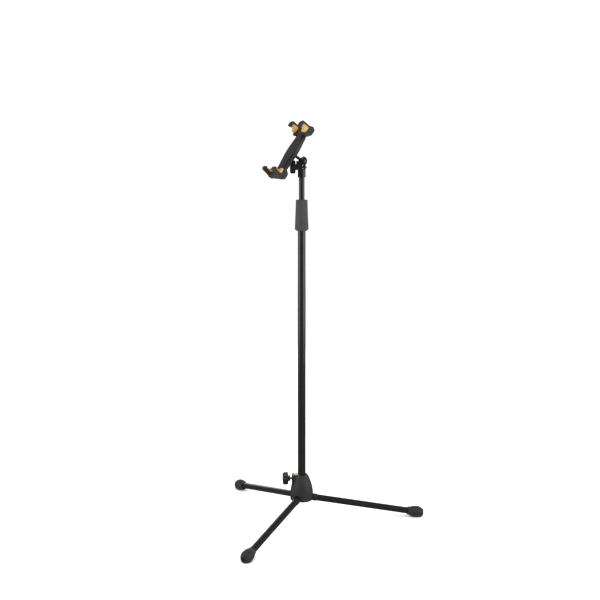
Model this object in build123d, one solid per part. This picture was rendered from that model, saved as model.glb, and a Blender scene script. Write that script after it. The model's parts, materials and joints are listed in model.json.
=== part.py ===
"""Tablet holder on a straight tripod stand, in millimetres.

The origin is on the floor, on the axis of the pole. +Z is up the pole, the holder faces -Y and
its jaws are wide along X. Every named piece is written to its own STEP file.
"""
from build123d import *
from math import cos, radians, sin, tan
import os

os.makedirs("parts", exist_ok=True)

# ---------------------------------------------------------------- driving dimensions
# Tripod
LEG_AZIMUTHS = {"rear": 75, "right": -45, "left": 195}
LEG_SLOPE = 10.2
LEG_D = 18.0
LEG_WALL = 1.2
LEG_REACH = 345.0
FOOT_LENGTH = 45.0
FOOT_D = 32.5
FOOT_FLAT_DEPTH = 2.7
FOOT_COVER = 14.0
FOOT_NECK_WALL = 2.2
PIN_D = 5.0
EYE_D = 17.4
EYE_WIDTH = 17.8
EYE_CHAMFER = 3.2
EYE_GAP = 0.6
PIN_GRIP = 3.5
SHANK_D = 16.4
COLLAR_STEP = 1.2
COLLAR_START = 8.0
COLLAR_LENGTH = 12.0
COLLAR_EDGE = 1.2
PLUG_LENGTH = 30.0

# Hub
HUB_D = 64.0
HUB_TOP_D = 34.0
HUB_HEIGHT = 72.0
HUB_BAND = 20.0
HUB_BULGE = 3.0
HUB_WALL = 2.4
BOSS_WALL = 2.9
BOSS_WIDTH = 22.0
BOSS_HEIGHT = 34.0
LOCK_AZIMUTH = 255
LOCK_DROP = 10.5
SHOE_WIDTH = 15.0
SHOE_DEPTH = 10.0
SHOE_HEIGHT = 19.0
SHOE_RISE = 1.0
NUT_THICKNESS = 2.2
LOCK_SCREW_D = 6.0
SHOE_TRAVEL = 1.6
KNOB_STANDOFF = 4.7
BUSH_WALL = 1.95

# Pole
LOWER_D = 22.0
UPPER_D = 16.0
TUBE_WALL = 1.2
POLE_RISE = 4.0
LOWER_TUBE_TOP = 850.0
UPPER_TUBE_TOP = 956.5
UPPER_TUBE_LENGTH = 706.0
GLIDE_LENGTH = 36.0

# Twist clutch
CLUTCH_OVERLAP = 36.3
CLUTCH_HEIGHT = 83.3
CLUTCH_WALL = 5.5
CLUTCH_TOP_WALL = 2.4
CLUTCH_MOUTH_WALL = 0.75
CLUTCH_CHAMFER = 4.0
CLUTCH_SLEEVE = 2.2
CLUTCH_LID = 9.0
FLUTES = 10
FLUTE_D = 9.0
FLUTE_DEPTH = 0.9
COLLET_RISE = 13.0
COLLET_LENGTH = 33.0

# Knobs, the same on the hub and on the head
KNOB_D = 35.0
KNOB_THICKNESS = 14.4
KNOB_DOME = 3.4
KNOB_COLLAR_D = 16.0
KNOB_COLLAR_LENGTH = 6.2
KNOB_LOBES = 8
KNOB_SCALLOP_D = 11.0
KNOB_SCALLOP_DEPTH = 1.7

# Head
ADAPTER_D = 22.0
ADAPTER_HEIGHT = 22.0
STUD_THREAD_D = 15.0
STUD_THREAD_LENGTH = 14.0
STUD_FLANGE = 2.0
BALL_D = 19.0
BALL_HEIGHT = 21.5
BALL_BACK = 2.5
SOCKET_WALL = 3.4
SOCKET_WINDOW = 50.0
WINDOW_RISE = 44.0
SOCKET_SPLIT = 1.0
BASE_PLATE = 1.0
LUG_WIDTH = 17.0
REAR_LUG_DEPTH = 8.5
FRONT_LUG_DEPTH = 17.6
KNOB_SEAT_DEPTH = 4.6
KNOB_GAP = 0.8
BOLT_D = 5.0
BOLT_HEIGHT = 5.6
NECK_D = 8.0
STUD_HEAD_D = 14.0
STUD_HEAD_THICKNESS = 2.4

# Holder, laid out along its own width, length and depth
HOLDER_LEAN = 33.0
RAIL_BACK = 30.0
RAIL_DEPTH = 10.5
COVER_DEPTH = 4.5
COVER_LIP = 1.5
COVER_REBATE = 2.0
FLANGE_D = 18.0
FLANGE_DEPTH = 5.5
PLATE_D = 27.0
PLATE_DEPTH = 2.8
PLATE_SCREW_SPREAD = 20.0
HALF_WIDTH_TOP = 18.5
HALF_WIDTH_UPPER = 24.5
HALF_WIDTH_WAIST = 29.5
HALF_WIDTH_LOWER = 27.0
HALF_WIDTH_BOTTOM = 20.5
BODY_TOP = 54.0
BODY_BOTTOM = -50.0
CHANNEL_WIDTH = 26.0
CHANNEL_FLOOR = 4.0
SLIDER_BOTTOM = -36.0
SLIDER_SEAT = 12.0
JAW_GAP = 1.0
TONGUE_LENGTH = 12.0
HOOK_SPREAD = 78.0
HOOK_WIDTH = 15.0
PAD_PROUD = 0.4
SCREW_D = 3.0
SCREW_HEAD_D = 5.6
SCREW_HEAD_DEPTH = 2.0
JAW_SCREW_LENGTH = 7.0
JAW_SCREW_SPREAD = 14.0

# Fits
RUN = 0.05
SLIP = 0.3
THREAD = 0.05
PUSH = 0.02

# ---------------------------------------------------------------- places worked out from them
COLLAR_D = LEG_D + 2 * COLLAR_STEP
PIVOT_RADIUS = LOWER_D / 2 + SLIP + HUB_WALL + EYE_GAP + EYE_D / 2
LEG_LENGTH = (LEG_REACH - PIVOT_RADIUS) / cos(radians(LEG_SLOPE))
FOOT_WIDEST = LEG_LENGTH - 0.47 * FOOT_LENGTH
PIVOT_Z = FOOT_D / 2 - FOOT_FLAT_DEPTH + FOOT_WIDEST * sin(radians(LEG_SLOPE))
SLOT_HALF = COLLAR_D / 2 + SLIP + 0.1
HUB_BOTTOM = PIVOT_Z - 7.2
HUB_TOP = HUB_BOTTOM + HUB_HEIGHT
LOCK_Z = HUB_TOP - LOCK_DROP
POLE_R = LOWER_D / 2
HUB_BORE_R = POLE_R + SLIP
BUSH_R = POLE_R + RUN + BUSH_WALL
BUSH_BOTTOM = PIVOT_Z + SLOT_HALF + HUB_WALL
POCKET_FLOOR = HUB_TOP + SHOE_RISE - SHOE_HEIGHT - SLIP
POCKET_END = POLE_R + SHOE_DEPTH + SHOE_TRAVEL + NUT_THICKNESS
BOSS_REACH = POCKET_END + BOSS_WALL
POLE_BOTTOM = HUB_BOTTOM + POLE_RISE
LOWER_BORE_R = LOWER_D / 2 - TUBE_WALL
UPPER_R = UPPER_D / 2
UPPER_BORE_R = UPPER_R - TUBE_WALL
UPPER_TUBE_BOTTOM = UPPER_TUBE_TOP - UPPER_TUBE_LENGTH
CLUTCH_BOTTOM = LOWER_TUBE_TOP - CLUTCH_OVERLAP
CLUTCH_TOP = CLUTCH_BOTTOM + CLUTCH_HEIGHT
CLUTCH_BORE_D = LOWER_D + 2 * CLUTCH_SLEEVE + 2 * SLIP
CLUTCH_D = CLUTCH_BORE_D + 2 * CLUTCH_WALL
CLUTCH_TOP_D = CLUTCH_BORE_D + 2 * CLUTCH_TOP_WALL
CLUTCH_MOUTH_D = CLUTCH_BORE_D + 2 * CLUTCH_MOUTH_WALL
ADAPTER_TOP = UPPER_TUBE_TOP + ADAPTER_HEIGHT
BALL_Z = ADAPTER_TOP + BALL_HEIGHT
BOLT_Z = ADAPTER_TOP + BOLT_HEIGHT
SOCKET_R = BALL_D / 2 + RUN + SOCKET_WALL
CHANNEL_BACK = RAIL_BACK + CHANNEL_FLOOR
RAIL_FRONT = RAIL_BACK + RAIL_DEPTH
COVER_FRONT = RAIL_FRONT + COVER_DEPTH
SLIDER_TOP = BODY_TOP + JAW_GAP + SLIDER_SEAT
NECK_LENGTH = RAIL_BACK - STUD_HEAD_THICKNESS - SLIP
HOOK_CENTRE = HOOK_SPREAD / 2

BASE = (Align.CENTER, Align.CENTER, Align.MIN)
FRONT = (Align.CENTER, Align.MIN, Align.MIN)


# ---------------------------------------------------------------- helpers
def save(name, shape):
    """Write one named piece, a solid or a group of solids, to its own file."""
    solids = list(shape.solids())
    export_step(solids[0] if len(solids) == 1 else Compound(solids), f"parts/{name}.step")


def rod(radius, start, end):
    """A solid cylinder on the local Z axis."""
    return Pos(0, 0, start) * Cylinder(radius, end - start, align=BASE)


def sleeve(outer, inner, start, end):
    """A tube on the local Z axis."""
    return rod(outer, start, end) - rod(inner, start - 1, end + 1)


def block(width, low, high, start, end):
    """A box centred across X, from low to high in Y and from start to end in Z."""
    return Pos(0, low, start) * Box(width, high - low, end - start, align=FRONT)


def outward(azimuth, height):
    """A place on the pole axis: local X runs sideways, local Y up and local Z outwards."""
    a = radians(azimuth)
    return Plane(origin=(0, 0, height), x_dir=(-sin(a), cos(a), 0), z_dir=(cos(a), sin(a), 0)).location


def along_leg(azimuth):
    """A place on a leg's pivot: local X is the pin's axis and local Z runs down the leg."""
    a = radians(azimuth)
    s = radians(LEG_SLOPE)
    origin = (PIVOT_RADIUS * cos(a), PIVOT_RADIUS * sin(a), PIVOT_Z)
    axis = (cos(a) * cos(s), sin(a) * cos(s), -sin(s))
    return Plane(origin=origin, x_dir=(-sin(a), cos(a), 0), z_dir=axis).location


def turned(profile):
    """A solid turned about the local Z axis from a closed profile drawn in radius and height."""
    return revolve(make_face(Plane.XZ * profile), Axis.Z)


def hex_rod(across_flats, start, end):
    """A hexagonal prism on the local Z axis."""
    flat = RegularPolygon(across_flats / 2, 6, major_radius=False)
    return Pos(0, 0, start) * extrude(flat, end - start)


# ---------------------------------------------------------------- knobs and screws
def lobed_knob(bore):
    """A scalloped hand knob whose collar starts at the local origin and whose disc points along +Z."""
    face = KNOB_COLLAR_LENGTH + KNOB_THICKNESS
    disc = rod(KNOB_D / 2, KNOB_COLLAR_LENGTH, face)
    disc = chamfer(disc.edges().group_by(Axis.Z)[-1], KNOB_DOME)
    disc = chamfer(disc.edges().group_by(Axis.Z)[0], 0.8)
    reach = KNOB_D / 2 + KNOB_SCALLOP_D / 2 - KNOB_SCALLOP_DEPTH
    scallop = rod(KNOB_SCALLOP_D / 2, KNOB_COLLAR_LENGTH - 1, face + 1)
    disc = disc - [place * scallop for place in PolarLocations(reach, KNOB_LOBES, 180 / KNOB_LOBES)]
    collar = rod(KNOB_COLLAR_D / 2, 0, KNOB_COLLAR_LENGTH + 0.5)
    return disc + collar - rod(bore, -1, face - 3)


def sunk_screw(length):
    """A pan-head screw: its head's underside is at the local origin and its shank runs along +Z."""
    head = rod(SCREW_HEAD_D / 2, -SCREW_HEAD_DEPTH, 0)
    head = fillet(head.edges().group_by(Axis.Z)[0], 0.6)
    cross = Box(3.2, 0.7, 2, align=BASE) + Box(0.7, 3.2, 2, align=BASE)
    return head + rod(SCREW_D / 2 - 0.1, 0, length) - Pos(0, 0, -SCREW_HEAD_DEPTH - 0.9) * cross


# ---------------------------------------------------------------- tripod legs
def leg_knuckle():
    """The hinge end of a leg: an eye on the pin, a collar and a plug pushed into the tube."""
    barrel = Cylinder(EYE_D / 2, EYE_WIDTH)
    eye = Rot(0, 90, 0) * chamfer(barrel.edges().filter_by(GeomType.CIRCLE), EYE_CHAMFER)
    shank = rod(SHANK_D / 2, 0, COLLAR_START + 1)
    collar_end = COLLAR_START + COLLAR_LENGTH
    collar = rod(COLLAR_D / 2, COLLAR_START, collar_end)
    collar = fillet(collar.edges().filter_by(GeomType.CIRCLE), COLLAR_EDGE)
    plug = rod(LEG_D / 2 - LEG_WALL - PUSH, COLLAR_START + 2, collar_end + PLUG_LENGTH)
    bore = Rot(0, 90, 0) * Cylinder(PIN_D / 2 + RUN, EYE_WIDTH + 2)
    return eye + shank + collar + plug - bore


def leg_tube():
    """The plain tube between the knuckle's collar and the inside of the foot."""
    return sleeve(LEG_D / 2, LEG_D / 2 - LEG_WALL, COLLAR_START + COLLAR_LENGTH, LEG_LENGTH - FOOT_COVER)


def foot():
    """A pear-shaped rubber foot with a sleeve over the tube and a dimple in its end."""
    start = LEG_LENGTH - FOOT_LENGTH
    neck = LEG_D / 2 + FOOT_NECK_WALL
    widest = FOOT_D / 2
    end = 0.58 * widest
    outline = Polyline((0, start), (neck, start), (neck + 0.7, start + 7))
    swell = ThreePointArc((neck + 0.7, start + 7), (0.93 * widest, start + 14.5), (widest, FOOT_WIDEST))
    nose = ThreePointArc((widest, FOOT_WIDEST), (0.90 * widest, LEG_LENGTH - 8), (end, LEG_LENGTH))
    closing = Polyline((end, LEG_LENGTH), (0, LEG_LENGTH), (0, start))
    body = turned(outline + swell + nose + closing)
    dimple = rod(0.36 * widest, LEG_LENGTH - 4, LEG_LENGTH + 1)
    return body - rod(LEG_D / 2 + PUSH, start - 1, LEG_LENGTH - FOOT_COVER) - dimple


def make_legs():
    below_floor = Pos(0, 0, -20) * Box(4 * LEG_REACH, 4 * LEG_REACH, 20, align=BASE)
    pin = Rot(0, 90, 0) * Cylinder(PIN_D / 2, 2 * (SLOT_HALF + PIN_GRIP))
    for side, azimuth in LEG_AZIMUTHS.items():
        place = along_leg(azimuth)
        save(f"leg_knuckle_{side}", place * leg_knuckle())
        save(f"leg_tube_{side}", place * leg_tube())
        save(f"leg_pin_{side}", place * pin)
        save(f"foot_{side}", place * foot() - below_floor)


# ---------------------------------------------------------------- hub
def hub_shell():
    """The bell-shaped body, solid so far."""
    wide = HUB_D / 2
    narrow = HUB_TOP_D / 2
    waist = HUB_BOTTOM + HUB_BAND
    middle_r = (wide + narrow) / 2 + HUB_BULGE
    middle_z = (waist + HUB_TOP) / 2
    foot_line = Polyline((0, HUB_BOTTOM), (wide - 1.5, HUB_BOTTOM), (wide, HUB_BOTTOM + 1.5), (wide, waist))
    shoulder = ThreePointArc((wide, waist), (middle_r, middle_z), (narrow, HUB_TOP))
    return turned(foot_line + shoulder + Polyline((narrow, HUB_TOP), (0, HUB_TOP), (0, HUB_BOTTOM)))


def hub_body():
    lock = outward(LOCK_AZIMUTH, 0)
    boss = block(BOSS_WIDTH, HUB_TOP - BOSS_HEIGHT, HUB_TOP, 0, BOSS_REACH)
    boss = fillet(boss.edges().filter_by(Axis.Y).group_by(Axis.Z)[-1], 5)
    body = hub_shell() + lock * boss
    body = body - rod(HUB_BORE_R, HUB_BOTTOM - 1, HUB_TOP + 1) - rod(BUSH_R + PUSH, BUSH_BOTTOM, HUB_TOP + 1)
    pocket = block(SHOE_WIDTH + 2 * SLIP, POCKET_FLOOR, HUB_TOP + 1, 0, POCKET_END)
    screw_way = Pos(0, LOCK_Z, 0) * rod(LOCK_SCREW_D / 2 + 0.4, 0, BOSS_REACH + 1)
    body = body - lock * pocket - lock * screw_way
    core = POLE_R + SLIP + HUB_WALL
    slot = block(2 * SLOT_HALF, HUB_BOTTOM - 1, PIVOT_Z, core, HUB_D)
    slot = slot + Pos(0, PIVOT_Z, 0) * rod(SLOT_HALF, core, HUB_D)
    pin_way = Rot(0, 90, 0) * Cylinder(PIN_D / 2 + PUSH, 2 * (SLOT_HALF + PIN_GRIP))
    pin_way = Pos(0, PIVOT_Z, PIVOT_RADIUS) * pin_way
    for azimuth in LEG_AZIMUTHS.values():
        body = body - outward(azimuth, 0) * (slot + pin_way)
    return body


def make_hub():
    save("hub_body", hub_body())
    save("hub_guide_bush", sleeve(BUSH_R, POLE_R + RUN, BUSH_BOTTOM, POCKET_FLOOR - SLIP))
    lock = outward(LOCK_AZIMUTH, 0)
    shoe = block(SHOE_WIDTH, POCKET_FLOOR + SLIP, HUB_TOP + SHOE_RISE, POLE_R - 4, POLE_R + SHOE_DEPTH)
    screw_r = LOCK_SCREW_D / 2
    tip_depth = POLE_R + 4
    tip_way = Pos(0, LOCK_Z, 0) * rod(screw_r + THREAD, tip_depth, POLE_R + SHOE_DEPTH + 1)
    save("hub_clamp_shoe", lock * shoe - rod(POLE_R + RUN, 0, HUB_TOP + 9) - lock * tip_way)
    nut_start = POCKET_END - NUT_THICKNESS
    nut = block(SHOE_WIDTH, POCKET_FLOOR + SLIP, HUB_TOP - 0.6, nut_start, POCKET_END)
    save("hub_lock_nut", lock * (nut - Pos(0, LOCK_Z, 0) * rod(screw_r + THREAD, 0, POCKET_END + 1)))
    knob_start = BOSS_REACH + KNOB_STANDOFF
    axis = outward(LOCK_AZIMUTH, LOCK_Z)
    knob_end = knob_start + KNOB_COLLAR_LENGTH + KNOB_THICKNESS
    screw = rod(screw_r, tip_depth + 0.2, knob_end - 3)
    screw = chamfer(screw.edges().group_by(Axis.Z)[0], 0.8)
    save("hub_lock_screw", axis * screw)
    save("hub_lock_knob", axis * (Pos(0, 0, knob_start) * lobed_knob(screw_r + PUSH)))


# ---------------------------------------------------------------- pole and clutch
def clutch_grip():
    """The fluted twist grip: a waisted cone with a lid that the upper tube passes through."""
    wide = CLUTCH_D / 2
    top = CLUTCH_TOP_D / 2
    shoulder = CLUTCH_BOTTOM + CLUTCH_CHAMFER
    middle = (shoulder + CLUTCH_TOP) / 2
    foot_line = Polyline((0, CLUTCH_BOTTOM), (CLUTCH_MOUTH_D / 2, CLUTCH_BOTTOM), (wide, shoulder))
    skirt = ThreePointArc((wide, shoulder), ((wide + top) / 2 - 0.25, middle), (top, CLUTCH_TOP - 1))
    lid = Polyline((top, CLUTCH_TOP - 1), (top - 1, CLUTCH_TOP), (0, CLUTCH_TOP), (0, CLUTCH_BOTTOM))
    grip = turned(foot_line + skirt + lid)
    lean = (wide - top) / (CLUTCH_TOP - shoulder)
    flute = Cone(FLUTE_D / 2, FLUTE_D / 2 + 0.01, CLUTCH_HEIGHT, align=BASE)
    for place in PolarLocations(wide + FLUTE_D / 2 - FLUTE_DEPTH, FLUTES):
        tilt = Rot(0, -lean * 57.3, 0)
        grip = grip - Pos(0, 0, shoulder + 3) * place * tilt * flute
    bore = rod(CLUTCH_BORE_D / 2, CLUTCH_BOTTOM - 1, CLUTCH_TOP - CLUTCH_LID)
    return grip - bore - rod(UPPER_R + 0.6, CLUTCH_BOTTOM, CLUTCH_TOP + 1)


def clutch_body():
    """The threaded sleeve on top of the lower tube."""
    outer = CLUTCH_BORE_D / 2 - SLIP
    end = LOWER_TUBE_TOP + COLLET_RISE - 1
    body = rod(outer, CLUTCH_BOTTOM + 2, end) - rod(POLE_R + PUSH, CLUTCH_BOTTOM, LOWER_TUBE_TOP)
    return body - rod(LOWER_BORE_R + 0.3, LOWER_TUBE_TOP - 1, end + 1)


def clutch_collet():
    """The slit ring that the grip squeezes onto the upper tube."""
    start = LOWER_TUBE_TOP + 1
    seat = LOWER_TUBE_TOP + COLLET_RISE
    end = start + COLLET_LENGTH
    ring = rod(LOWER_BORE_R, start, seat + 1)
    ring = ring + Pos(0, 0, seat) * Cone(CLUTCH_BORE_D / 2 - 1.2, UPPER_R + 2, end - seat, align=BASE)
    ring = ring - rod(UPPER_R + RUN, start - 1, end + 1)
    slit = Pos(0, 0, seat + 4) * Box(CLUTCH_BORE_D, 1.2, COLLET_LENGTH, align=BASE)
    return ring - slit - Rot(0, 0, 90) * slit


def make_pole():
    save("lower_tube", sleeve(POLE_R, LOWER_BORE_R, POLE_BOTTOM, LOWER_TUBE_TOP))
    cap = rod(POLE_R, POLE_BOTTOM - 2, POLE_BOTTOM) + rod(LOWER_BORE_R - PUSH, POLE_BOTTOM, POLE_BOTTOM + 16)
    save("pole_end_cap", cap)
    save("clutch_body", clutch_body())
    save("clutch_collet", clutch_collet())
    save("clutch_grip", clutch_grip())
    save("upper_tube", sleeve(UPPER_R, UPPER_BORE_R, UPPER_TUBE_BOTTOM, UPPER_TUBE_TOP))
    glide_top = UPPER_TUBE_BOTTOM + GLIDE_LENGTH
    glide = sleeve(LOWER_BORE_R - RUN, UPPER_R + PUSH, UPPER_TUBE_BOTTOM, glide_top)
    glide_rim = sleeve(LOWER_BORE_R - RUN, UPPER_BORE_R, UPPER_TUBE_BOTTOM - 2, UPPER_TUBE_BOTTOM)
    save("upper_tube_glide", glide + glide_rim)
    thread_start = UPPER_TUBE_TOP + STUD_FLANGE
    stud = rod(UPPER_BORE_R - PUSH, UPPER_TUBE_TOP - 26, UPPER_TUBE_TOP)
    stud = stud + rod(UPPER_R, UPPER_TUBE_TOP, thread_start)
    stud = stud + rod(STUD_THREAD_D / 2, thread_start, thread_start + STUD_THREAD_LENGTH)
    save("thread_stud", chamfer(stud.edges().group_by(Axis.Z)[-1], 1))


# ---------------------------------------------------------------- ball head
def head_place():
    """The ball's centre: local X runs sideways, local Y up and local Z towards the clamp knob."""
    return outward(LOCK_AZIMUTH, BALL_Z) * Pos(0, 0, -BALL_BACK)


def socket_shell(front):
    """One half of the ball clamp, in the head's own axes with the ball's centre at the origin."""
    low = ADAPTER_TOP - BALL_Z
    gap = SOCKET_SPLIT / 2
    depth = FRONT_LUG_DEPTH if front else REAR_LUG_DEPTH
    lug = block(LUG_WIDTH, low + (BASE_PLATE + 0.2 if front else 0), 0, gap, depth)
    lug = fillet(lug.edges().filter_by(Axis.Y).group_by(Axis.Z)[-1], 3)
    dome = Sphere(SOCKET_R) & block(4 * SOCKET_R, -2 * SOCKET_R, 2 * SOCKET_R, gap, 2 * SOCKET_R)
    shell = lug + dome
    if not front:
        shell = Rot(0, 180, 0) * shell
        plate = rod(ADAPTER_D / 2, ADAPTER_TOP, ADAPTER_TOP + BASE_PLATE)
        shell = shell + head_place().inverse() * plate
    return shell - Sphere(BALL_D / 2 + RUN)


def make_head():
    bore_end = UPPER_TUBE_TOP + STUD_FLANGE + STUD_THREAD_LENGTH + 1
    adapter = rod(ADAPTER_D / 2, UPPER_TUBE_TOP, ADAPTER_TOP)
    adapter = chamfer(adapter.edges().filter_by(GeomType.CIRCLE), 0.8)
    adapter = adapter - rod(STUD_THREAD_D / 2 + THREAD, UPPER_TUBE_TOP, bore_end)
    adapter = adapter - rod(UPPER_R + SLIP, UPPER_TUBE_TOP - 1, UPPER_TUBE_TOP + STUD_FLANGE + SLIP)
    save("head_adapter", adapter)

    place = head_place()
    bolt_y = BOLT_Z - BALL_Z
    bolt_way = Pos(0, bolt_y, 0) * rod(BOLT_D / 2 + RUN, -3 * SOCKET_R, 3 * SOCKET_R)
    nut_face = -REAR_LUG_DEPTH - 1.4
    nut_way = Pos(0, bolt_y, 0) * hex_rod(8 + 2 * PUSH, nut_face - 3, nut_face + 4)
    save("socket_rear_shell", place * (socket_shell(False) - bolt_way - nut_way))
    window_depth = 2 * SOCKET_R
    window = Cone(0.01, window_depth * tan(radians(SOCKET_WINDOW)), window_depth, align=BASE)
    window = Rot(-WINDOW_RISE, 0, 0) * window
    seat = FRONT_LUG_DEPTH - KNOB_SEAT_DEPTH
    knob_seat = Pos(0, bolt_y, 0) * rod(KNOB_COLLAR_D / 2 + SLIP, seat, FRONT_LUG_DEPTH + 1)
    save("socket_front_shell", place * (socket_shell(True) - bolt_way - window - knob_seat))
    nut = hex_rod(8, nut_face, nut_face + 4) - rod(BOLT_D / 2 + THREAD, -40, 0)
    save("clamp_nut", place * (Pos(0, bolt_y, 0) * nut))
    knob_start = seat + KNOB_GAP
    knob_end = knob_start + KNOB_COLLAR_LENGTH + KNOB_THICKNESS
    bolt = chamfer(rod(BOLT_D / 2, nut_face - 1.6, knob_end - 3).edges().group_by(Axis.Z)[0], 0.6)
    save("clamp_bolt", place * (Pos(0, bolt_y, 0) * bolt))
    save("head_knob", place * (Pos(0, bolt_y, knob_start) * lobed_knob(BOLT_D / 2 + PUSH)))


# ---------------------------------------------------------------- tablet holder
def holder_place():
    """The ball's centre, with local X along the jaws, local Y up the holder and local Z forwards."""
    lean = radians(HOLDER_LEAN)
    a = radians(LOCK_AZIMUTH)
    centre = (-BALL_BACK * cos(a), -BALL_BACK * sin(a), BALL_Z)
    return Plane(origin=centre, x_dir=(1, 0, 0), z_dir=(0, -cos(lean), sin(lean))).location


def leaf(inset, start, end):
    """The holder's leaf-shaped plan, drawn in and made solid between two depths."""
    stations = [
        (HALF_WIDTH_BOTTOM - inset, BODY_BOTTOM),
        (HALF_WIDTH_LOWER - inset, BODY_BOTTOM + 0.33 * (BODY_TOP - BODY_BOTTOM)),
        (HALF_WIDTH_WAIST - inset, BODY_BOTTOM + 0.54 * (BODY_TOP - BODY_BOTTOM)),
        (HALF_WIDTH_UPPER - inset, BODY_BOTTOM + 0.77 * (BODY_TOP - BODY_BOTTOM)),
        (HALF_WIDTH_TOP - inset, BODY_TOP),
    ]
    right = Spline(*stations)
    left = Spline(*[(-x, y) for x, y in stations])
    top = Line(stations[-1], (-stations[-1][0], BODY_TOP))
    bottom = Line(stations[0], (-stations[0][0], BODY_BOTTOM))
    return Pos(0, 0, start) * extrude(make_face(right + top + left + bottom), end - start)


# Side outlines of the jaws, as depth in front of the cover and height beyond the rail's end
UPPER_HOOK = [
    (-14.5, 5.0), (-16.0, 12.0), (-15.8, 22.3), (-8.2, 28.3), (3.7, 24.8), (24.6, 27.2), (28.6, 19.5),
    (27.8, 10.8), (20.6, 10.4), (19.7, 20.2), (3.9, 19.9), (2.0, 14.1), (4.3, 4.5), (3.2, -1.5),
    (-1.0, -3.0), (-8.5, 0.0),
]
UPPER_PAD = [(19.7, 20.2), (3.9, 19.9), (2.0, 14.1), (4.3, 4.5), (11.3, 3.5), (13.6, 11.4), (19.9, 13.2)]
UPPER_BAR = [
    (-13.0, JAW_GAP), (-15.4, 8.0), (-15.4, 19.0), (-12.5, 21.5), (-1.0, 21.5), (0, 19.5),
    (0, JAW_GAP),
]
LOWER_HOOK = [
    (-7.0, -1.5), (-15.6, -10.0), (-15.6, -24.0), (-9.0, -29.4), (-1.0, -29.6), (6.1, -26.6),
    (26.0, -22.4), (28.6, -18.5), (27.6, -12.6), (24.5, -10.4), (21.0, -10.6), (19.3, -14.5),
    (11.0, -17.3), (3.0, -17.0), (1.5, -11.0), (3.4, -4.5), (0.5, -1.5),
]
LOWER_PAD = [
    (19.3, -14.5), (11.0, -17.3), (3.0, -17.0), (1.5, -11.0), (3.4, -4.5), (7.6, -5.5), (9.0, -11.0),
    (12.4, -14.2), (19.2, -12.4),
]
LOWER_BAR = [
    (-7.0, 0), (-15.2, -9.0), (-15.2, -23.5), (-8.8, -29.0), (-1.0, -29.2), (5.6, -26.2), (3.0, -17.0),
    (0, -12.0), (0, 0),
]


def across(outline, rail_end, width, centre):
    """A side outline, in depth and height from the cover and the rail's end, made solid across X."""
    points = [(0, rail_end + height, COVER_FRONT + depth) for depth, height in outline]
    face = make_face(Polyline(*points, close=True))
    return Pos(centre - width / 2, 0, 0) * extrude(face, width, dir=(1, 0, 0))


def jaw(hook, bar, rail_end):
    """Two hooks and the bar that joins them behind the tablet."""
    hooks = [across(hook, rail_end, HOOK_WIDTH, side * HOOK_CENTRE) for side in (-1, 1)]
    return across(bar, rail_end, HOOK_SPREAD - HOOK_WIDTH + 2, 0) + hooks[0] + hooks[1]


def make_jaws(place):
    slot_back = CHANNEL_BACK + SLIP - 0.1
    slot_front = RAIL_FRONT - SLIP + 0.1
    socket_way = block(CHANNEL_WIDTH - 0.5, BODY_TOP, SLIDER_TOP + SLIP, slot_back, slot_front)
    screw_high = BODY_TOP + JAW_GAP + SLIDER_SEAT / 2
    seat = CHANNEL_BACK - 2.0
    well = rod(SCREW_HEAD_D / 2 + SLIP, 0, seat) + rod(SCREW_D / 2, 0, seat + JAW_SCREW_LENGTH + SLIP)
    spots = [Pos(side * JAW_SCREW_SPREAD / 2, screw_high, 0) for side in (-1, 1)]
    screws = [spot * Pos(0, 0, seat) * sunk_screw(JAW_SCREW_LENGTH) for spot in spots]
    wells = [spot * well for spot in spots]
    upper = jaw(UPPER_HOOK, UPPER_BAR, BODY_TOP) - socket_way - wells[0] - wells[1]
    save("upper_jaw", place * upper)
    save("jaw_screws", place * Compound(screws))

    slider_back = CHANNEL_BACK + SLIP
    slider = block(CHANNEL_WIDTH - 2 * SLIP, SLIDER_BOTTOM, SLIDER_TOP, slider_back, RAIL_FRONT - SLIP)
    trough = block(CHANNEL_WIDTH - 12, SLIDER_BOTTOM + 8, BODY_TOP - 4, CHANNEL_BACK + 3, RAIL_FRONT)
    slider = slider - trough
    save("slider_bar", place * (slider - wells[0] - wells[1]))

    tongue_top = BODY_BOTTOM + TONGUE_LENGTH
    tongue_back = CHANNEL_BACK + PUSH
    tongue_front = RAIL_FRONT - PUSH
    tongue = block(CHANNEL_WIDTH - 2 * PUSH, BODY_BOTTOM - 2, tongue_top, tongue_back, tongue_front)
    save("lower_jaw", place * (jaw(LOWER_HOOK, LOWER_BAR, BODY_BOTTOM) + tongue))

    for name, outline, rail_end in (("upper", UPPER_PAD, BODY_TOP), ("lower", LOWER_PAD, BODY_BOTTOM)):
        for side, sign in (("left", -1), ("right", 1)):
            pad = across(outline, rail_end, HOOK_WIDTH + 2 * PAD_PROUD, sign * HOOK_CENTRE)
            save(f"{name}_pad_{side}", place * pad)


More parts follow.
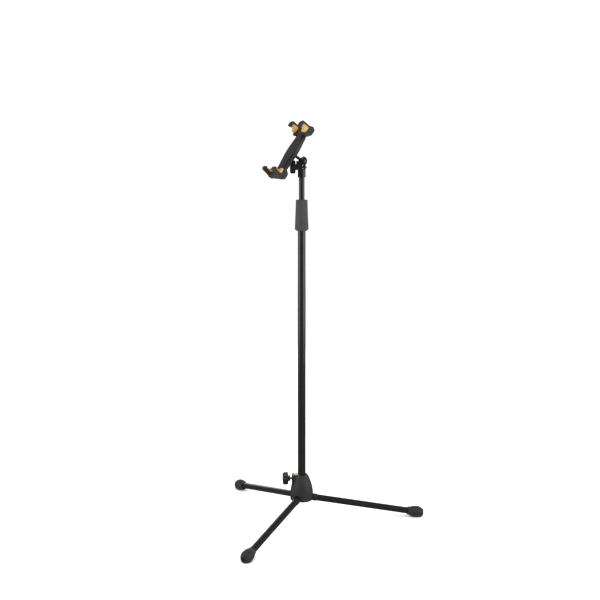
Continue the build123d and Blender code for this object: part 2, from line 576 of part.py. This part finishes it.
def make_holder():
    place = holder_place()
    ball = Sphere(BALL_D / 2) + rod(NECK_D / 2, 0, NECK_LENGTH)
    head_end = NECK_LENGTH + STUD_HEAD_THICKNESS
    save("ball_stud", place * (ball + rod(STUD_HEAD_D / 2, NECK_LENGTH, head_end)))
    hub = rod(FLANGE_D / 2, RAIL_BACK - FLANGE_DEPTH, RAIL_BACK)
    plate = rod(PLATE_D / 2, RAIL_BACK - PLATE_DEPTH, RAIL_BACK)
    flange = chamfer(hub.edges().group_by(Axis.Z)[0], 1.0)
    flange = flange + chamfer(plate.edges().group_by(Axis.Z)[0], 0.6)
    flange = flange - rod(NECK_D / 2 + RUN, 0, RAIL_BACK)
    flange = flange - rod(STUD_HEAD_D / 2 + RUN, NECK_LENGTH - RUN, RAIL_BACK)

    body = leaf(0, RAIL_BACK, RAIL_FRONT)
    body = chamfer(body.edges().group_by(Axis.Z)[0], 2.0)
    body = body - block(CHANNEL_WIDTH, BODY_BOTTOM - 1, BODY_TOP + 1, CHANNEL_BACK, RAIL_FRONT + 1)
    flange_spots = [Pos(side * PLATE_SCREW_SPREAD / 2, 0, 0) for side in (-1, 1)]
    head_seat = CHANNEL_BACK - SCREW_HEAD_DEPTH - 0.1
    plate_screw_end = RAIL_BACK - PLATE_DEPTH + 0.5
    cover_spots = [Pos(x, y, 0) for x, y in ((-17, 38), (17, 38), (-20, -28), (20, -28))]
    shank_way = rod(SCREW_D / 2, 0, RAIL_FRONT + 3)
    for spot in flange_spots:
        way = spot * rod(SCREW_D / 2, plate_screw_end - 0.2, CHANNEL_BACK + 1)
        flange = flange - way
        body = body - way - spot * rod(SCREW_HEAD_D / 2 + 0.2, head_seat, CHANNEL_BACK + 1)
    save("stud_flange", place * flange)
    flange_screw = Pos(0, 0, head_seat) * Rot(180, 0, 0) * sunk_screw(head_seat - plate_screw_end)
    save("flange_screws", place * Compound([spot * flange_screw for spot in flange_spots]))

    cover = leaf(0.2, COVER_FRONT - COVER_LIP, COVER_FRONT)
    cover = chamfer(cover.edges().group_by(Axis.Z)[-1], 0.6)
    cover = cover + leaf(COVER_REBATE, RAIL_FRONT, COVER_FRONT - COVER_LIP)
    for spot in cover_spots:
        body = body - spot * shank_way - spot * rod(SCREW_HEAD_D / 2 + 0.2, 0, RAIL_BACK + 2.4)
        cover = cover - spot * shank_way
    save("rail_body", place * body)
    save("leaf_cover", place * cover)
    cover_screw = Pos(0, 0, RAIL_BACK + 2.4) * sunk_screw(RAIL_FRONT + 2.6 - RAIL_BACK - 2.4)
    save("cover_screws", place * Compound([spot * cover_screw for spot in cover_spots]))
    make_jaws(place)


make_legs()
make_hub()
make_pole()
make_head()
make_holder()
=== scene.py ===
# %% [markdown]
# # A tablet stand on a tripod pole
# The stand is a telescoping steel pole on three folding legs, with a ball head and a holder whose padded
# jaws grip a tablet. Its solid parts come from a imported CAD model, already in metres and in place.
# Loading that model first gives a fixed frame, so every new piece can take its position from it.

# %% Load the frame
import json
from math import cos, pi, radians, sin

import bpy
import numpy as np
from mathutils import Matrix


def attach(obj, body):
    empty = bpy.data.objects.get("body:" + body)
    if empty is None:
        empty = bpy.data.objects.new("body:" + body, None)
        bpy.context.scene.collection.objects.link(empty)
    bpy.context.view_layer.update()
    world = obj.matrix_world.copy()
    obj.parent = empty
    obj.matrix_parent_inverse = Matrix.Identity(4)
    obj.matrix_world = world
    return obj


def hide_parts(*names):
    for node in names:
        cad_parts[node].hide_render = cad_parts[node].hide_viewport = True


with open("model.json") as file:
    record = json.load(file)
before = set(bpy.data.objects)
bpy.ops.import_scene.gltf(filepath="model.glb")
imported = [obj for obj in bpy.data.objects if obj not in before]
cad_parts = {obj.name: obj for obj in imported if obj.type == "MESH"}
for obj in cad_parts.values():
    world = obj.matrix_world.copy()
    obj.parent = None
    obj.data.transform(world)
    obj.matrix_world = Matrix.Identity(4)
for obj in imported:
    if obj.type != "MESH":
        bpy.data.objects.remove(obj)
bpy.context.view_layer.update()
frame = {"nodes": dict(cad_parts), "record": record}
MM = 0.001

# %% [markdown]
# ## Places
# The joints of the model already say where things turn. The ball's centre and the holder's three
# axes are read from them, so the pads stay in their hooks even if the holder's lean changes.

# %% Read the axes from the joints
joints = {joint["name"]: joint for joint in frame["record"]["behaviour"]["joints"]}


def unit(values):
    """The values as an array of length one."""
    vector = np.array(values, dtype=float)
    return vector / np.linalg.norm(vector)


ball_centre = np.array(joints["ball_tilt"]["pos_m"])
holder_front = unit(joints["holder_spin"]["axis"])
holder_up = unit(joints["jaw_slide"]["axis"])
holder_side = np.cross(holder_up, holder_front)
knob_axis = unit(joints["lock_knob_turn"]["axis"])
print("ball centre, mm:", np.round(ball_centre / MM, 1), "front:", np.round(holder_front, 3))

# %% [markdown]
# ## Camera and studio
# The camera looks slightly down at the pole from the holder's side, at the height of a seated person.
# The floor is a plain pale sheet, and the world is white but dim in reflections, as in a studio where
# black flags keep gloss from washing out. The floor doesn't show in reflections either. Two tall wide
# soft boxes, one at each side, light the flanks of a round tube and leave a dark line down its middle.
# A wide one behind stands for the lit backdrop, which draws the bright line along the top of each leg.
# The standard view keeps the white of the background white.

# %% Camera
CAMERA_AZIMUTH = radians(-20.1)
CAMERA_DISTANCE = 2.803
CAMERA_HEIGHT = 1.037
CAMERA_PITCH = radians(8.37)
CAMERA_LENS = 62.37
FRAMING_SHIFT = -0.0028

camera_data = bpy.data.cameras.new("studio_camera")
camera_data.lens = CAMERA_LENS
camera_data.shift_x = FRAMING_SHIFT
camera = bpy.data.objects.new("studio_camera", camera_data)
bpy.context.collection.objects.link(camera)
camera.location = (
    CAMERA_DISTANCE * cos(CAMERA_AZIMUTH),
    CAMERA_DISTANCE * sin(CAMERA_AZIMUTH),
    CAMERA_HEIGHT,
)
camera.rotation_euler = (pi / 2 - CAMERA_PITCH, 0, CAMERA_AZIMUTH + pi / 2)
bpy.context.scene.camera = camera
print("camera at", np.round(camera.location, 3))


# %% Floor
def flat_sheet(name, half):
    """A square sheet on the floor, from -half to half each way."""
    mesh = bpy.data.meshes.new(name)
    corners = [(-half, -half, 0), (half, -half, 0), (half, half, 0), (-half, half, 0)]
    mesh.from_pydata(corners, [], [(0, 1, 2, 3)])
    sheet = bpy.data.objects.new(name, mesh)
    bpy.context.collection.objects.link(sheet)
    return sheet


FLOOR_HALF = 30.0
FLOOR_GAP = 0.0003
floor = flat_sheet("studio_floor", FLOOR_HALF)
floor.location.z = -FLOOR_GAP
floor_material = bpy.data.materials.new("studio_paper")
floor_material.use_nodes = True
paper = floor_material.node_tree.nodes["Principled BSDF"]
paper.inputs["Base Color"].default_value = (0.93, 0.93, 0.93, 1)
paper.inputs["Roughness"].default_value = 0.9
paper.inputs["Specular IOR Level"].default_value = 0.1
floor.data.materials.append(floor_material)
floor.visible_glossy = False

# %% World
STUDIO_WHITE = 1.2
REFLECTED_GREY = 0.16
bpy.context.scene.view_settings.view_transform = "Standard"
world = bpy.data.worlds.new("studio_world")
bpy.context.scene.world = world
world.use_nodes = True
world_nodes = world.node_tree.nodes
world_links = world.node_tree.links
background = world_nodes["Background"]
light_path = world_nodes.new("ShaderNodeLightPath")
level = world_nodes.new("ShaderNodeMapRange")
# "Is Glossy Ray" is 1 for a ray that left a surface as a reflection, and 0 for all the others.
level.inputs["To Min"].default_value = STUDIO_WHITE
level.inputs["To Max"].default_value = REFLECTED_GREY
world_links.new(light_path.outputs["Is Glossy Ray"], level.inputs["Value"])
world_links.new(level.outputs["Result"], background.inputs["Strength"])
background.inputs["Color"].default_value = (1, 1, 1, 1)


# %% Soft boxes
def soft_box(name, azimuth, distance, height, size, power):
    """An upright area light that faces the pole, at an azimuth in degrees counted from the camera's."""
    data = bpy.data.lights.new(name, "AREA")
    data.shape = "RECTANGLE"
    data.size, data.size_y = size
    data.energy = power
    light = bpy.data.objects.new(name, data)
    bpy.context.collection.objects.link(light)
    a = CAMERA_AZIMUTH + radians(azimuth)
    light.location = (distance * cos(a), distance * sin(a), height)
    light.rotation_euler = (pi / 2, 0, a + pi / 2)
    return light


SIDE_DISTANCE = 2.1
SIDE_HEIGHT = 1.1
SIDE_SIZE = (2.1, 2.0)
OVERHEAD_TILT = radians(12)
soft_box("soft_box_left", -74, SIDE_DISTANCE, SIDE_HEIGHT, SIDE_SIZE, 30)
soft_box("soft_box_right", 72, SIDE_DISTANCE, SIDE_HEIGHT, SIDE_SIZE, 34)
overhead = soft_box("soft_box_top", 10, 0.8, 2.6, (0.8, 1.4), 16)
overhead.rotation_euler = (OVERHEAD_TILT, 0, CAMERA_AZIMUTH + pi / 2)
backdrop = soft_box("soft_box_back", 180, 2.6, 0.75, (4.6, 0.9), 28)
backdrop.visible_camera = False

# %% [markdown]
# ## Finishes
# Every surface of the stand is black or nearly so, and what tells them apart is texture: smooth
# powder coat on steel, spark-eroded grain on moulded plastic, and dull rubber. Each finish is a
# small node graph on Object coordinates, which are metres in the frame, so a noise scale of 1000
# gives grains about a millimetre across. Values that don't vary are set on the shader's own sockets.


# %% Small tools for node graphs
def start_material(name, colour, roughness, metallic=0.0, specular=0.5):
    """A new material with its constants on the shader, and the node tree and shader to build on."""
    material = bpy.data.materials.new(name)
    material.use_nodes = True
    tree = material.node_tree
    shader = tree.nodes["Principled BSDF"]
    shader.inputs["Base Color"].default_value = (*colour, 1)
    shader.inputs["Roughness"].default_value = roughness
    shader.inputs["Metallic"].default_value = metallic
    shader.inputs["Specular IOR Level"].default_value = specular
    return material, tree, shader


def place(tree, stretch=(1, 1, 1), turns=()):
    """Object coordinates, given each turn in order and then stretched for a pattern."""
    vector = tree.nodes.new("ShaderNodeTexCoord").outputs["Object"]
    for rotation, scale in [(turn, (1, 1, 1)) for turn in turns] + [((0, 0, 0), stretch)]:
        mapping = tree.nodes.new("ShaderNodeMapping")
        mapping.inputs["Rotation"].default_value = rotation
        mapping.inputs["Scale"].default_value = scale
        tree.links.new(vector, mapping.inputs["Vector"])
        vector = mapping.outputs["Vector"]
    return vector


def clouds(tree, vector, scale, detail=3.0):
    """Soft noise between 0 and 1."""
    node = tree.nodes.new("ShaderNodeTexNoise")
    node.inputs["Scale"].default_value = scale
    node.inputs["Detail"].default_value = detail
    tree.links.new(vector, node.inputs["Vector"])
    return node.outputs["Fac"]


def grains(tree, vector, scale):
    """Distance to the nearest of many scattered points, which makes rounded grains."""
    node = tree.nodes.new("ShaderNodeTexVoronoi")
    node.inputs["Scale"].default_value = scale
    tree.links.new(vector, node.inputs["Vector"])
    return node.outputs["Distance"]


def between(tree, value, low, high, start=0.3, end=0.7):
    """A number from low to high as value goes from start to end."""
    node = tree.nodes.new("ShaderNodeMapRange")
    node.inputs["From Min"].default_value = start
    node.inputs["From Max"].default_value = end
    node.inputs["To Min"].default_value = low
    node.inputs["To Max"].default_value = high
    tree.links.new(value, node.inputs["Value"])
    return node.outputs["Result"]


def tones(tree, value, stops):
    """A colour from value, by stops of (position, colour)."""
    node = tree.nodes.new("ShaderNodeValToRGB")
    ramp = node.color_ramp.elements
    for element, (position, colour) in zip(ramp, (stops[0], stops[-1])):
        element.position = position
        element.color = (*colour, 1)
    for position, colour in stops[1:-1]:
        ramp.new(position).color = (*colour, 1)
    tree.links.new(value, node.inputs["Fac"])
    return node.outputs["Color"]


def relief(tree, shader, layers):
    """Bumps one on another, each a (height, strength, depth in metres), into the shader's normal."""
    normal = None
    for height, strength, depth in layers:
        node = tree.nodes.new("ShaderNodeBump")
        node.inputs["Strength"].default_value = strength
        node.inputs["Distance"].default_value = depth
        tree.links.new(height, node.inputs["Height"])
        if normal is not None:
            tree.links.new(normal, node.inputs["Normal"])
        normal = node.outputs["Normal"]
    tree.links.new(normal, shader.inputs["Normal"])


# %% [markdown]
# ### Powder coat
# Tubes and the head are powder-coated steel. The coat flows as it is baked and sets with a faint
# orange peel, about a millimetre from crest to crest. A tube also keeps very shallow lines along its
# length from being drawn, and handling leaves patches that are a little shinier or duller.


# %% Powder coat
def powder_coat(name, stretch, turns=(), roughness=(0.17, 0.25)):
    """Satin black with orange peel, faint draw lines along the stretched axis and handled patches."""
    material, tree, shader = start_material(name, (0.007, 0.007, 0.008), roughness[0], specular=0.5)
    even = place(tree)
    drawn = place(tree, stretch, turns)
    patches = clouds(tree, even, 26, 4)
    specks = clouds(tree, even, 2600, 1)
    speckled = tones(tree, specks, [(0.0, (0.005, 0.005, 0.006)), (0.66, (0.008, 0.008, 0.009)),
                                    (0.78, (0.032, 0.032, 0.034))])
    tree.links.new(speckled, shader.inputs["Base Color"])
    tree.links.new(between(tree, patches, *roughness), shader.inputs["Roughness"])
    peel = clouds(tree, even, 950, 2)
    lines = clouds(tree, drawn, 1, 2)
    relief(tree, shader, [(lines, 0.10, 0.00002), (peel, 0.15, 0.00004)])
    return material


DRAWN_UPRIGHT = (700, 700, 5)
DRAWN_ALONG_X = (5, 700, 700)
pole_coat = powder_coat("powder_coat_pole", DRAWN_UPRIGHT)
head_coat = powder_coat("powder_coat_head", (60, 60, 60), roughness=(0.16, 0.26))
print("powder coats:", pole_coat.name, head_coat.name)

# %% [markdown]
# ### Leg tubes
# The legs use the same coat, but their draw lines must follow each leg. Both angles of a leg are read
# from its fold joint: the hinge axis gives its azimuth, and a leg folds until it hangs straight down,
# so its slope is what the fold leaves of a right angle. Turning the pattern back by the azimuth, and
# then by the slope, lays it along the tube.

# %% One coat for each leg
leg_names = [name.removeprefix("leg_fold_") for name in joints if name.startswith("leg_fold_")]
leg_coats = {}
for leg in leg_names:
    fold = joints[f"leg_fold_{leg}"]
    hinge = unit(fold["axis"])
    azimuth = np.arctan2(-hinge[0], hinge[1])
    slope = pi / 2 - radians(fold["range_deg"][1])
    turns = [(0, 0, -azimuth), (0, -slope, 0)]
    leg_coats[leg] = powder_coat(f"powder_coat_leg_{leg}", DRAWN_ALONG_X, turns)
print("leg coats:", list(leg_coats))

# %% [markdown]
# ### Moulded plastic
# The hub and the holder are glass-filled nylon from a spark-eroded mould. Its surface is a dense
# field of tiny rounded pits that scatters light and lifts the black to charcoal. Two sizes of grain
# over each other look less regular than one, and slow clouds stand for flow marks and handling.


# %% Moulded plastic
def moulded_plastic(name, dark, light, grain, depth, roughness):
    """Grained plastic whose pits are grain per metre and depth metres deep, in two tones."""
    material, tree, shader = start_material(name, dark, roughness[0], specular=0.38)
    even = place(tree)
    flow = clouds(tree, place(tree, (1, 1, 0.45)), 38, 4)
    pits = grains(tree, even, grain)
    fine = clouds(tree, even, grain * 2.3, 2)
    tree.links.new(tones(tree, flow, [(0.25, dark), (0.75, light)]), shader.inputs["Base Color"])
    tree.links.new(between(tree, flow, *roughness), shader.inputs["Roughness"])
    relief(tree, shader, [(pits, 0.55, depth), (fine, 0.30, depth / 2)])
    return material


hub_plastic = moulded_plastic(
    "moulded_hub", (0.013, 0.012, 0.0135), (0.019, 0.0175, 0.0195), 1300, 0.00012, (0.52, 0.64)
)
holder_plastic = moulded_plastic(
    "moulded_holder", (0.014, 0.013, 0.015), (0.020, 0.019, 0.021), 1700, 0.00009, (0.46, 0.58)
)
knuckle_plastic = moulded_plastic(
    "moulded_knuckle", (0.007, 0.007, 0.008), (0.011, 0.011, 0.012), 1900, 0.00004, (0.26, 0.38)
)
knob_plastic = moulded_plastic(
    "moulded_knob", (0.006, 0.006, 0.007), (0.010, 0.010, 0.011), 1500, 0.00005, (0.32, 0.44)
)
print("moulded finishes:", [m.name for m in bpy.data.materials if m.name.startswith("moulded")])

# %% [markdown]
# ### Rubber
# The feet and the clutch's grip are black rubber. Rubber is duller than plastic, with a wide weak
# sheen and a paler bloom where it has been handled. The feet also pick up dust low down, so their
# colour lifts a little towards the floor: the Z of Object coordinates is height in metres.


# %% Rubber
DUST = (0.045, 0.043, 0.041)
MOST_DUST = 0.55


def rubber(name, dark, bloom, roughness, dust_below=None):
    """Dull rubber with a fine pebble and a paler bloom, and dust near the floor if asked for."""
    material, tree, shader = start_material(name, dark, roughness, specular=0.28)
    shader.inputs["Sheen Weight"].default_value = 0.05
    shader.inputs["Sheen Roughness"].default_value = 0.5
    even = place(tree)
    worn = clouds(tree, even, 70, 5)
    colour = tones(tree, worn, [(0.3, dark), (0.8, bloom)])
    if dust_below is not None:
        split = tree.nodes.new("ShaderNodeSeparateXYZ")
        tree.links.new(even, split.inputs["Vector"])
        low = between(tree, split.outputs["Z"], MOST_DUST, 0.0, 0.0, dust_below)
        mix = tree.nodes.new("ShaderNodeMix")
        mix.data_type = "RGBA"
        mix.inputs["B"].default_value = (*DUST, 1)
        tree.links.new(low, mix.inputs["Factor"])
        tree.links.new(colour, mix.inputs["A"])
        colour = mix.outputs["Result"]
    tree.links.new(colour, shader.inputs["Base Color"])
    relief(tree, shader, [(grains(tree, even, 1100), 0.35, 0.00008), (worn, 0.2, 0.0001)])
    return material


foot_rubber = rubber("rubber_foot", (0.010, 0.010, 0.011), (0.018, 0.018, 0.019), 0.62, 0.012)
grip_rubber = rubber("rubber_grip", (0.028, 0.028, 0.030), (0.042, 0.042, 0.044), 0.66)
print("rubbers:", foot_rubber.name, grip_rubber.name)

# %% [markdown]
# ### Amber pads
# The jaws are lined with soft amber rubber. It is slightly translucent, so light enters and comes
# out again nearby, which subsurface scattering gives. Darker honey tones gather in slow clouds, and
# the surface has a very fine matt grain.


# %% Amber rubber
def amber_rubber():
    """Honey-coloured, faintly translucent rubber."""
    material, tree, shader = start_material("rubber_amber", (0.47, 0.270, 0.058), 0.5, specular=0.4)
    shader.inputs["Subsurface Weight"].default_value = 0.18
    shader.inputs["Subsurface Radius"].default_value = (0.9, 0.4, 0.08)
    shader.inputs["Subsurface Scale"].default_value = 0.0016
    even = place(tree)
    honey = clouds(tree, even, 110, 2)
    stops = [(0.3, (0.43, 0.235, 0.045)), (0.55, (0.47, 0.270, 0.058)), (0.8, (0.52, 0.315, 0.080))]
    tree.links.new(tones(tree, honey, stops), shader.inputs["Base Color"])
    tree.links.new(between(tree, honey, 0.44, 0.6), shader.inputs["Roughness"])
    relief(tree, shader, [(grains(tree, even, 2400), 0.2, 0.00003)])
    return material


amber = amber_rubber()

# %% [markdown]
# ### Metals and nylon
# The clamp shoe and its nut are cast brass, the pins and screws are zinc-plated steel, and the
# bushes that run on the pole are plain nylon. Metal shows its making: brass has a soft cast grain
# under a dull skin of oxide, so it is only partly metallic, and plated steel has fine scratches round
# its turned faces.


# %% Metals and nylon
def bare_metal(name, dark, light, roughness, stretch, metallic=1.0):
    """Metal in two close tones, with scratches along the unstretched axis and uneven polish."""
    material, tree, shader = start_material(name, dark, roughness[0], metallic=metallic)
    scratches = clouds(tree, place(tree, stretch), 1, 4)
    tarnish = clouds(tree, place(tree), 210, 4)
    tree.links.new(tones(tree, tarnish, [(0.3, dark), (0.7, light)]), shader.inputs["Base Color"])
    tree.links.new(between(tree, scratches, *roughness), shader.inputs["Roughness"])
    relief(tree, shader, [(scratches, 0.25, 0.00004)])
    return material


def plain_nylon():
    """Milky nylon with faint turning lines."""
    material, tree, shader = start_material("nylon_natural", (0.62, 0.60, 0.54), 0.45)
    lines = clouds(tree, place(tree, (40, 40, 2400)), 1, 1)
    haze = clouds(tree, place(tree), 90, 3)
    stops = [(0.3, (0.54, 0.52, 0.46)), (0.7, (0.66, 0.64, 0.58))]
    tree.links.new(tones(tree, haze, stops), shader.inputs["Base Color"])
    relief(tree, shader, [(lines, 0.2, 0.00003)])
    return material


brass = bare_metal(
    "brass_cast", (0.50, 0.35, 0.16), (0.64, 0.48, 0.25), (0.34, 0.52), (500, 500, 500), metallic=0.6
)
zinc = bare_metal("zinc_plate", (0.42, 0.42, 0.44), (0.58, 0.58, 0.60), (0.22, 0.36), (300, 300, 2600))
black_zinc = bare_metal(
    "zinc_black", (0.05, 0.05, 0.055), (0.09, 0.09, 0.10), (0.26, 0.40), (300, 300, 2600)
)
nylon = plain_nylon()
print("materials so far:", len(bpy.data.materials))

# %% [markdown]
# ## Finishing the CAD parts
# The solid parts keep their CAD shapes, so they only need their finish. A table from the start of a
# node's name to a material keeps this in one place, and the longest match wins.

# %% Which finish goes where
FINISHES = {
    "foot_": foot_rubber,
    "leg_knuckle_": knuckle_plastic,
    "leg_pin_": zinc,
    "hub_body": hub_plastic,
    "hub_guide_bush": nylon,
    "hub_clamp_shoe": brass,
    "hub_lock_nut": brass,
    "hub_lock_knob": knob_plastic,
    "hub_lock_screw": black_zinc,
    "lower_tube": pole_coat,
    "upper_tube": pole_coat,
    "upper_tube_glide": nylon,
    "pole_end_cap": knuckle_plastic,
    "clutch_body": knob_plastic,
    "clutch_collet": nylon,
    "clutch_grip": grip_rubber,
    "thread_stud": zinc,
    "head_adapter": head_coat,
    "head_knob": knob_plastic,
    "socket_": head_coat,
    "clamp_nut": zinc,
    "clamp_bolt": black_zinc,
    "ball_stud": head_coat,
    "stud_flange": knob_plastic,
    "flange_screws": black_zinc,
    "rail_body": holder_plastic,
    "leaf_cover": holder_plastic,
    "cover_screws": black_zinc,
    "slider_bar": knuckle_plastic,
    "upper_jaw": holder_plastic,
    "lower_jaw": holder_plastic,
    "jaw_screws": black_zinc,
    "upper_pad_": amber,
    "lower_pad_": amber,
}
for leg, coat in leg_coats.items():
    FINISHES[f"leg_tube_{leg}"] = coat

for name, node in frame["nodes"].items():
    start = max((key for key in FINISHES if name.startswith(key)), key=len)
    node.data.materials.clear()
    node.data.materials.append(FINISHES[start])
print("finished", len(frame["nodes"]), "CAD nodes")

# %% [markdown]
# ## Making surfaces
# New pieces are grids: a shape is worked out for whole arrays of two parameters at once, and the
# points go to the mesh in one call. The grid closes round one way, and its two ends close in a
# single point each, so that the piece is watertight.


# %% Grid to mesh
def closed_surface(name, rings, material, body):
    """A closed piece from rings, an array of (ring, point round it, xyz), with a pole at each end."""
    count, around = rings.shape[:2]
    first = rings[0].mean(axis=0)
    last = rings[-1].mean(axis=0)
    points = np.vstack([rings.reshape(-1, 3), first, last])
    i = np.repeat(np.arange(count - 1), around)
    j = np.tile(np.arange(around), count - 1)
    k = (j + 1) % around
    quads = np.stack([i * around + j, i * around + k, (i + 1) * around + k, (i + 1) * around + j], 1)
    j = np.arange(around)
    k = (j + 1) % around
    start_pole = count * around
    end_pole = start_pole + 1
    base = (count - 1) * around
    start_fan = np.stack([k, j, np.full(around, start_pole)], 1)
    end_fan = np.stack([base + j, base + k, np.full(around, end_pole)], 1)
    mesh = bpy.data.meshes.new(name)
    faces = quads.tolist() + start_fan.tolist() + end_fan.tolist()
    mesh.from_pydata(points.tolist(), [], faces)
    mesh.polygons.foreach_set("use_smooth", np.ones(len(faces), dtype=bool))
    mesh.materials.append(material)
    mesh.update()
    piece = bpy.data.objects.new(name, mesh)
    bpy.context.collection.objects.link(piece)
    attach(piece, body)
    print(name, "faces:", len(faces))
    return piece


# %% [markdown]
# ## Jaw pads
# Each hook is lined with a moulded pad. On the real stand it is softly crowned, with a rounded rim,
# and fine ribs stop the tablet from slipping. A smooth closed curve through a few points gives its
# side outline. It is carried across the hook's width, and drawn in round a quarter circle at each end.

# %% Pad outlines
PAD_WIDTH = 15.8 * MM
PAD_RIM = 1.6 * MM
RIB_PITCH = 1.5 * MM
RIB_HEIGHT = 0.16 * MM
HOOK_CENTRE = 39.0 * MM
SPAN_STEPS = 14
RIM_STEPS = 7
MIDDLE_STEPS = 12
END_SHRINK = 0.35
# These are in millimetres: how far the cover and the rail's two ends lie from the ball's centre, and
# each outline as (depth in front of the cover, height from the rail's end).
COVER_FRONT = 45.0
UPPER_END = 54.0
LOWER_END = -50.0
UPPER_PAD = [(19.7, 20.2), (3.9, 19.9), (2.0, 14.1), (4.3, 4.5), (11.3, 3.5), (13.6, 11.4), (19.9, 13.2)]
LOWER_PAD = [
    (19.3, -14.5), (11.0, -17.3), (3.0, -17.0), (1.5, -11.0), (3.4, -4.5), (7.6, -5.5), (9.0, -11.0),
    (12.4, -14.2), (19.2, -12.4),
]


def smooth_loop(corners, steps):
    """A closed curve through the corners: each span blends its two ends and their chords by a cubic."""
    before = np.roll(corners, 1, axis=0)
    after = np.roll(corners, -1, axis=0)
    beyond = np.roll(corners, -2, axis=0)
    t = np.linspace(0, 1, steps, endpoint=False)[None, :, None]
    a = corners[:, None]
    b = after[:, None]
    slope_a = (b - before[:, None]) / 2
    slope_b = (beyond[:, None] - a) / 2
    curve = (2 * t**3 - 3 * t**2 + 1) * a + (t**3 - 2 * t**2 + t) * slope_a
    curve = curve + (3 * t**2 - 2 * t**3) * b + (t**3 - t**2) * slope_b
    return curve.reshape(-1, 2)


def outward_normals(loop):
    """Unit normals of a closed curve in its plane, pointing away from its inside."""
    along = np.roll(loop, -1, axis=0) - np.roll(loop, 1, axis=0)
    normal = np.stack([along[:, 1], -along[:, 0]], 1)
    normal = normal / np.linalg.norm(normal, axis=1, keepdims=True)
    following = np.roll(loop, -1, axis=0)
    area = np.sum(loop[:, 0] * following[:, 1] - following[:, 0] * loop[:, 1])
    return normal * np.sign(area)


# %% Pads
def jaw_pad(name, outline, rail_end, centre, body):
    """A pad: outline carried across its width, ribbed, with its rim drawn in by 1 - cos(angle)."""
    loop = smooth_loop((np.array(outline) + (COVER_FRONT, rail_end)) * MM, SPAN_STEPS)
    normal = outward_normals(loop)
    steps = np.linalg.norm(np.roll(loop, -1, axis=0) - loop, axis=1)
    travel = np.cumsum(steps) - steps
    loop = loop - normal * RIB_HEIGHT * (1 - np.cos(2 * pi * travel / RIB_PITCH))[:, None] / 2
    quarter = np.linspace(0, pi / 2, RIM_STEPS)
    half = PAD_WIDTH / 2 - PAD_RIM
    middle = np.linspace(-half, half, MIDDLE_STEPS + 2)[1:-1]
    across = np.concatenate([-half - PAD_RIM * np.cos(quarter), middle, half + PAD_RIM * np.sin(quarter)])
    drawn = np.concatenate([1 - np.sin(quarter), 0 * middle, 1 - np.cos(quarter)])
    inset = loop[None] - normal[None] * (PAD_RIM * drawn)[:, None, None]
    core = loop.mean(axis=0)
    first = core + (inset[:1] - core) * END_SHRINK
    last = core + (inset[-1:] - core) * END_SHRINK
    inset = np.concatenate([first, inset, last])
    across = np.concatenate([across[:1], across, across[-1:]])
    points = (
        ball_centre
        + (centre + across)[:, None, None] * holder_side
        + inset[..., :1] * holder_front
        + inset[..., 1:] * holder_up
    )
    piece = closed_surface(name, points, amber, body)
    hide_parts(name.removeprefix("lining_"))
    return piece


ROWS = (("upper", UPPER_PAD, UPPER_END, "jaw"), ("lower", LOWER_PAD, LOWER_END, "holder"))
for row, outline, rail_end, body in ROWS:
    for side, sign in (("left", -1), ("right", 1)):
        jaw_pad(f"lining_{row}_pad_{side}", outline, rail_end, sign * HOOK_CENTRE, body)

# %% [markdown]
# ## Screw threads
# The hub's screw shows for a few millimetres between the boss and the knob, and the clamp bolt shows
# at both ends. A real thread is a groove that climbs one pitch in a turn. The radius is a triangle
# wave of height minus turn, so whole rings of points make the helix with no separate ridges to join.


# %% Threaded rod
THREAD_DEPTH = 0.6
RINGS_PER_PITCH = 8
POINTS_ROUND = 28
LEAD_IN = 1.2


def threaded_rod(name, node, pitch, body):
    """A screw in place of a CAD one: radius = outer - depth * triangle(height / pitch - turn).

    The depth and the lead-in at each end, where the radius shrinks a little, are shares of the pitch.
    """
    mesh = frame["nodes"][node].data
    flat = np.empty(len(mesh.vertices) * 3)
    mesh.vertices.foreach_get("co", flat)
    points = flat.reshape(-1, 3)
    along = points @ knob_axis
    centre = points.mean(axis=0)
    foot = centre - (centre @ knob_axis) * knob_axis
    reach = np.linalg.norm(points - along[:, None] * knob_axis - foot, axis=1)
    outer = reach.max()
    depth = THREAD_DEPTH * pitch
    length = along.max() - along.min()
    height = np.linspace(0, length, int(length / pitch * RINGS_PER_PITCH))
    turn = np.linspace(0, 1, POINTS_ROUND, endpoint=False)
    wave = np.abs(((height[:, None] / pitch - turn[None]) % 1) * 2 - 1)
    lead = np.clip(np.minimum(height, length - height) / (LEAD_IN * pitch), 0, 1)[:, None]
    radius = outer - depth * wave - 0.5 * depth * (1 - lead)
    across = unit(np.cross(knob_axis, (0, 0, 1)))
    upright = np.cross(across, knob_axis)
    angle = 2 * pi * turn
    ring = np.cos(angle)[:, None] * across + np.sin(angle)[:, None] * upright
    shape = foot + (along.min() + height)[:, None, None] * knob_axis + radius[..., None] * ring[None]
    piece = closed_surface(name, shape[::-1], black_zinc, body)
    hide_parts(node)
    return piece


threaded_rod("threaded_lock_screw", "hub_lock_screw", 1.0 * MM, "lock_knob")
threaded_rod("threaded_clamp_bolt", "clamp_bolt", 0.8 * MM, "head_knob")
